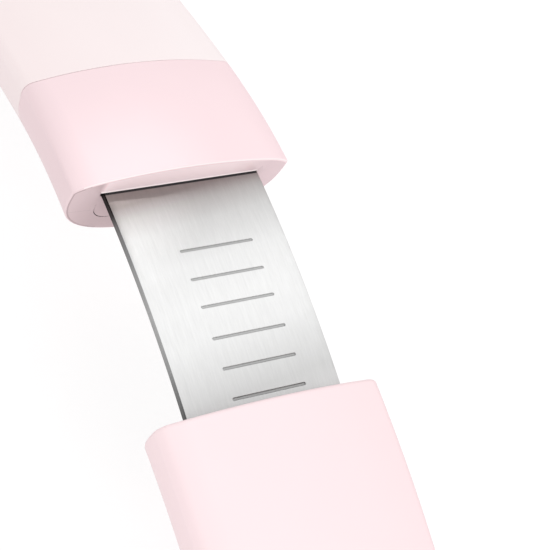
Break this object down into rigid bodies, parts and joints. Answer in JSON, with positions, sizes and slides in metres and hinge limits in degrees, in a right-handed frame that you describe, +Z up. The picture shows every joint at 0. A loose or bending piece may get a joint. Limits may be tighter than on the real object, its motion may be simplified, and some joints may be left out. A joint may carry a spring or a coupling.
{
  "type": "ultrasonic skin scrubber",
  "caption": "Slim curved facial wand with a thin brushed-steel scrubbing blade, a pull-off cap, a mode button and a charging socket.",
  "frame": {"origin": "on the floor, midway between the tail and the cap's tip, as the wand lies on its back with its cap part of the way off", "axes": "+Z up and out of the front, where the button is; -Y towards the cap's tip; +X across the blade"},
  "size_m": [0.0428, 0.2218, 0.0417],
  "materials": {
    "blush_plastic": "satin moulded",
    "pink_plastic": "satin moulded",
    "brushed_steel": "brushed along its length",
    "screw_steel": "zinc plated",
    "bright_plate": "polished",
    "soft_rubber": "matte",
    "white_nylon": "as moulded",
    "ceramic": "fired",
    "circuit_green": "solder mask",
    "black_plastic": "matte",
    "copper": "enamelled winding",
    "battery_film": "shrink film",
    "light_lens": "milky clear",
    "red_wire": "insulation",
    "black_wire": "insulation"
  },
  "bodies": {
    "wand": {"front_shell": "blush_plastic", "back_shell": "blush_plastic", "collar_sleeve": "pink_plastic", "blade_gland": "pink_plastic", "blade": "brushed_steel", "clamp_screw_1": "screw_steel", "clamp_screw_2": "screw_steel", "frame_screw_1": "screw_steel", "frame_screw_2": "screw_steel", "frame_screw_3": "screw_steel", "frame_screw_4": "screw_steel", "back_screw_1": "screw_steel", "back_screw_2": "screw_steel", "contact_plate": "bright_plate", "contact_spring": "bright_plate", "usb_socket": "bright_plate", "collar_seal": "soft_rubber", "clamp_pad_upper": "soft_rubber", "clamp_pad_lower": "soft_rubber", "usb_gasket": "soft_rubber", "blade_clamp": "white_nylon", "inner_frame": "white_nylon", "piezo_plate_front": "ceramic", "piezo_plate_rear": "ceramic", "led_1": "ceramic", "led_2": "ceramic", "led_3": "ceramic", "circuit_board": "circuit_green", "driver_board": "circuit_green", "switch_body": "black_plastic", "control_chip": "black_plastic", "charge_chip": "black_plastic", "transformer_core": "black_plastic", "battery_pad": "black_plastic", "transformer_coil": "copper", "battery_cell": "battery_film", "light_pipe_1": "light_lens", "light_pipe_2": "light_lens", "light_pipe_3": "light_lens", "battery_lead_red": "red_wire", "piezo_lead_red": "red_wire", "battery_lead_black": "black_wire", "piezo_lead_black": "black_wire"},
    "cap": {"cap_shell": "pink_plastic", "grip_pad_left": "soft_rubber", "grip_pad_right": "soft_rubber"},
    "button": {"mode_button": "pink_plastic", "switch_plunger": "white_nylon"}
  },
  "joints": [
    {"name": "cap_pull", "type": "hinge", "parent": "wand", "child": "cap", "pos_m": [0, 0.06742, -0.45415], "axis": [1, 0, 0], "range_deg": [-4.69, 2.6]},
    {"name": "button_press", "type": "slide", "parent": "wand", "child": "button", "axis": [0, -0.2557, -0.9667], "range_m": [0, 0.0005], "stiffness_N_per_m": 2500, "springref_m": -0.0003}
  ]
}
